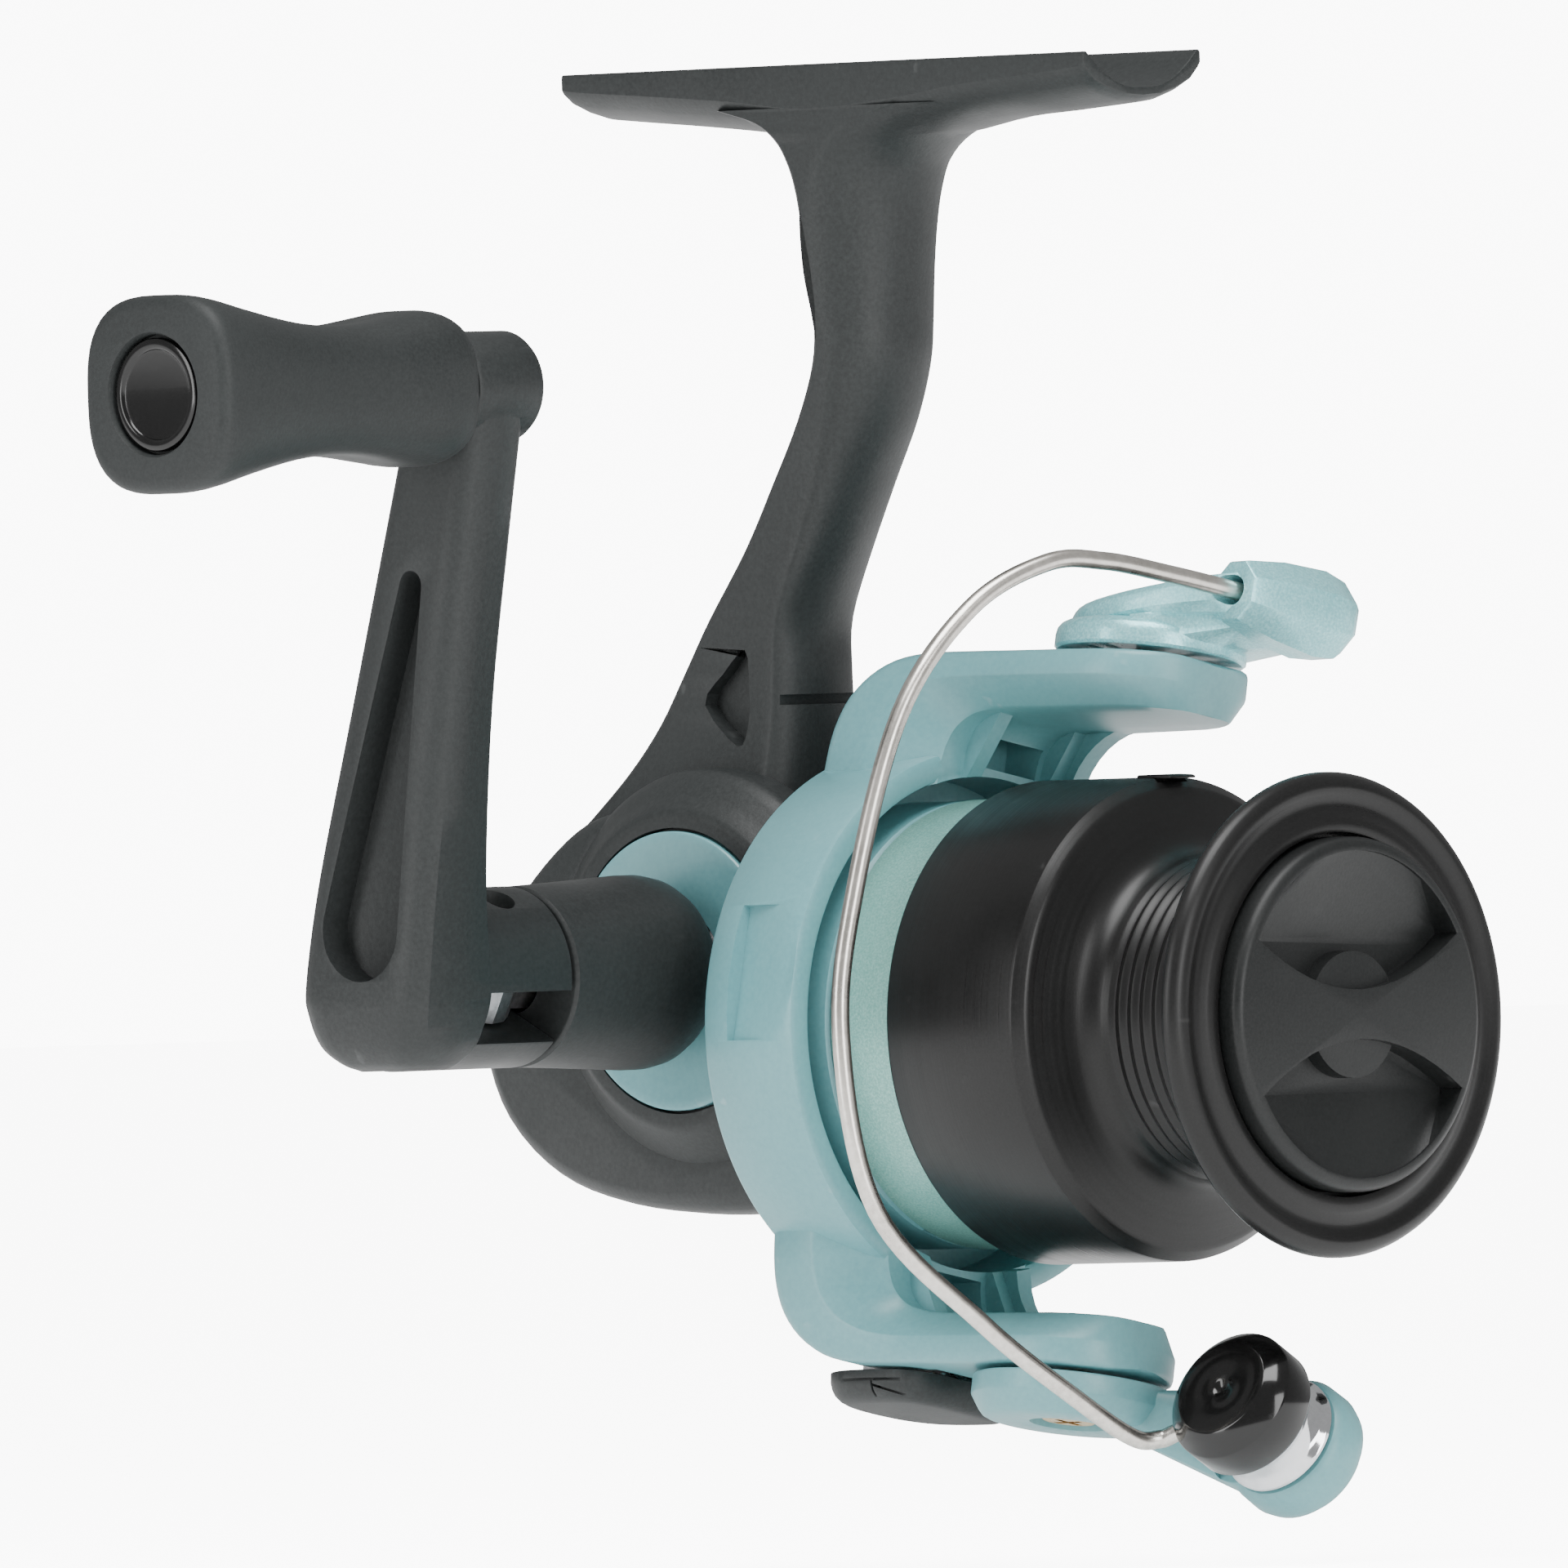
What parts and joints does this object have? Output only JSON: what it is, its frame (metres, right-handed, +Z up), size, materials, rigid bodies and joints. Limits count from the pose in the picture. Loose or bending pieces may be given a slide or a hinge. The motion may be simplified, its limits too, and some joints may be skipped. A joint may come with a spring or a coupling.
{
  "type": "spinning fishing reel",
  "caption": "Open-face spinning fishing reel with folding crank handle, opening bail with line roller, oscillating spool and front drag knob.",
  "frame": {"origin": "middle of the rod seat, on the floor of the foot's saddle", "axes": "+X forward along the spool axis, +Y to the angler's left, +Z up towards the rod"},
  "size_m": [0.0978, 0.1126, 0.1277],
  "materials": {
    "graphite_plastic": "satin",
    "teal_plastic": "satin",
    "teal_metallic": "metallic",
    "green_metallic": "metallic",
    "black_anodised": "satin",
    "gloss_black": "gloss",
    "satin_black": "satin",
    "soft_rubber": "matte",
    "stainless_steel": "brushed",
    "bail_wire_steel": "polished",
    "bearing_steel": "ground",
    "chrome": "polished",
    "die_cast_zinc": "cast",
    "brass": "machined",
    "drag_felt": "felt",
    "nylon": "moulded"
  },
  "bodies": {
    "case": {"body_housing": "graphite_plastic", "side_cover": "graphite_plastic", "cover_screw_1": "stainless_steel", "cover_screw_2": "stainless_steel", "cover_screw_3": "stainless_steel", "trim_ring": "teal_plastic", "near_bearing": "bearing_steel", "far_bearing": "bearing_steel", "guide_rod": "bearing_steel", "pinion_bearing": "bearing_steel", "one_way_clutch": "die_cast_zinc", "clutch_retainer": "bearing_steel"},
    "crank": {"drive_gear": "die_cast_zinc", "crank_collar": "graphite_plastic", "shaft_cap": "graphite_plastic"},
    "crank_draw": {"crank_shaft": "die_cast_zinc", "fold_pin": "stainless_steel"},
    "handle": {"handle_arm": "graphite_plastic", "grip_spindle": "stainless_steel"},
    "grip": {"handle_grip": "soft_rubber", "grip_cap": "gloss_black"},
    "lay_gear": {"oscillation_gear": "nylon"},
    "rotor": {"rotor": "teal_plastic", "rotor_sleeve": "green_metallic", "rotor_nut": "brass", "pinion_gear": "brass", "arm_cover": "graphite_plastic", "bail_spring": "stainless_steel"},
    "bail": {"bail_bracket": "teal_metallic", "bail_wire": "bail_wire_steel", "roller_arm": "teal_plastic", "bracket_screw": "stainless_steel", "roller_arm_screw": "brass", "roller_cap": "gloss_black", "roller_pin": "stainless_steel", "roller_bush": "nylon"},
    "kick_lever": {"kick_lever": "die_cast_zinc"},
    "line_roller": {"line_roller": "chrome"},
    "spool_shaft": {"main_shaft": "stainless_steel", "slider_block": "die_cast_zinc", "click_gear": "nylon", "metal_washer_1": "stainless_steel", "metal_washer_2": "stainless_steel", "drag_spring": "stainless_steel"},
    "spool": {"spool": "black_anodised", "line_clip": "black_anodised", "click_pawl": "nylon", "drag_washer_1": "drag_felt", "drag_washer_2": "drag_felt", "retaining_ring": "stainless_steel"},
    "drag_knob": {"drag_knob": "satin_black"},
    "drag_nut": {"drag_nut": "brass"}
  },
  "joints": [
    {"name": "crank_turn", "type": "hinge", "parent": "case", "child": "crank", "pos_m": [-0.016, 0, -0.0755], "axis": [0, 1, 0], "continuous": true},
    {"name": "shaft_draw", "type": "slide", "parent": "crank", "child": "crank_draw", "axis": [0, -1, 0], "range_m": [0, 0.0048]},
    {"name": "handle_fold", "type": "hinge", "parent": "crank_draw", "child": "handle", "pos_m": [-0.016, -0.0388, -0.0755], "axis": [-0.4695, 0, -0.8829], "range_deg": [0, 90]},
    {"name": "grip_spin", "type": "hinge", "parent": "handle", "child": "grip", "pos_m": [-0.0032, -0.07, -0.0243], "axis": [0, 1, 0], "continuous": true},
    {"name": "lay_gear_turn", "type": "hinge", "parent": "case", "child": "lay_gear", "pos_m": [-0.028, 0.0066, -0.082], "axis": [0, 1, 0], "continuous": true},
    {"name": "rotor_spin", "type": "hinge", "parent": "case", "child": "rotor", "pos_m": [0.009, 0, -0.081], "axis": [1, 0, 0], "continuous": true},
    {"name": "bail_open", "type": "hinge", "parent": "rotor", "child": "bail", "pos_m": [0.0241, 0, -0.081], "axis": [0, 0.1994, 0.9799], "range_deg": [0, 105]},
    {"name": "kick_lever_swing", "type": "hinge", "parent": "rotor", "child": "kick_lever", "pos_m": [0.0105, -0.00829, -0.10972], "axis": [0, 0.1994, 0.9799], "range_deg": [0, 7]},
    {"name": "line_roller_spin", "type": "hinge", "parent": "bail", "child": "line_roller", "pos_m": [0.04391, -0.00288, -0.11643], "axis": [-0.0801, 0.8736, -0.48], "continuous": true},
    {"name": "spool_stroke", "type": "slide", "parent": "case", "child": "spool_shaft", "axis": [1, 0, 0], "range_m": [-0.0075, 0.003]},
    {"name": "spool_drag", "type": "hinge", "parent": "spool_shaft", "child": "spool", "pos_m": [0.034, 0, -0.081], "axis": [1, 0, 0], "continuous": true},
    {"name": "drag_knob_turn", "type": "hinge", "parent": "spool_shaft", "child": "drag_knob", "pos_m": [0.05, 0, -0.081], "axis": [1, 0, 0], "range_deg": [-270, 270]},
    {"name": "drag_nut_travel", "type": "slide", "parent": "drag_knob", "child": "drag_nut", "axis": [1, 0, 0], "range_m": [-0.0006, 0.0006]}
  ],
  "couplings": [
    {"joint": "rotor_spin", "follows": "crank_turn", "ratio": 5.2},
    {"joint": "lay_gear_turn", "follows": "crank_turn", "ratio": -0.5},
    {"joint": "shaft_draw", "follows": "handle_fold", "m_per_rad": 0.003},
    {"joint": "kick_lever_swing", "follows": "bail_open", "ratio": 0.06},
    {"joint": "drag_nut_travel", "follows": "drag_knob_turn", "m_per_rad": 0.000127}
  ]
}
